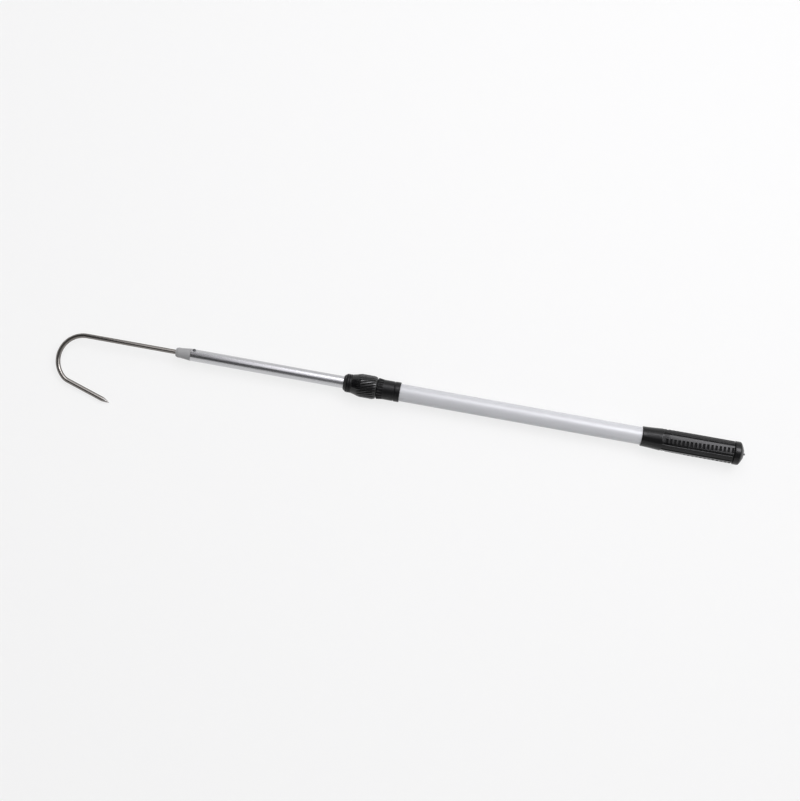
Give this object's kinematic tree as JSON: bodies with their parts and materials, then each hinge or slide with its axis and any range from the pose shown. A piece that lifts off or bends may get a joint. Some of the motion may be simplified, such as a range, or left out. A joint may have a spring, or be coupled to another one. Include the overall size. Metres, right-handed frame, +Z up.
{
  "type": "telescopic fishing gaff",
  "caption": "Telescoping gaff with a bent steel hook, a sliding aluminium section, an external twist lock and a ribbed black grip.",
  "frame": {"origin": "under the middle of the gaff's bounding box, on the surface that it lies on", "axes": "+X along the tubes from the hook to the grip, +Z up from the surface, the gap of the hook towards -Y"},
  "size_m": [0.9112, 0.0962, 0.0307],
  "materials": {
    "stainless": "polished, slightly warm",
    "grey_plastic": "matte moulded grey",
    "zinc_steel": "bright zinc plate",
    "rivet_aluminium": "plain",
    "bright_aluminium": "bright drawn",
    "satin_aluminium": "satin anodised",
    "inner_plastic": "plain moulded black",
    "white_nylon": "natural nylon",
    "lock_plastic": "semi-gloss moulded black",
    "grip_plastic": "semi-gloss moulded black"
  },
  "bodies": {
    "handle": {"lower_tube": "satin_aluminium", "lock_body": "lock_plastic", "front_bush": "white_nylon", "grip": "grip_plastic", "butt_cap": "grip_plastic"},
    "guide_ring": {"guide_ring": "white_nylon"},
    "head": {"upper_tube": "bright_aluminium", "ferrule_plug": "grey_plastic", "hook": "stainless", "hook_washer": "zinc_steel", "hook_lock_nut": "zinc_steel", "ferrule_rivet": "rivet_aluminium", "tail_plug": "inner_plastic", "tail_pin": "zinc_steel"},
    "collet": {"collet": "lock_plastic"},
    "lock_nut": {"lock_nut": "lock_plastic"}
  },
  "joints": [
    {"name": "section_slide", "type": "slide", "parent": "handle", "child": "guide_ring", "axis": [-1, 0, 0], "range_m": [-0.1939, 0.1989]},
    {"name": "head_swivel", "type": "hinge", "parent": "guide_ring", "child": "head", "pos_m": [-0.2, 0.03277, 0.01534], "axis": [1, 0, 0], "continuous": true},
    {"name": "lock_travel", "type": "slide", "parent": "handle", "child": "collet", "axis": [-1, 0, 0], "range_m": [0, 0.003]},
    {"name": "lock_twist", "type": "hinge", "parent": "collet", "child": "lock_nut", "pos_m": [-0.046, 0.03277, 0.01534], "axis": [-1, 0, 0], "range_deg": [0, 270]}
  ],
  "couplings": [
    {"joint": "lock_twist", "follows": "lock_travel", "rad_per_m": 1570.8}
  ]
}
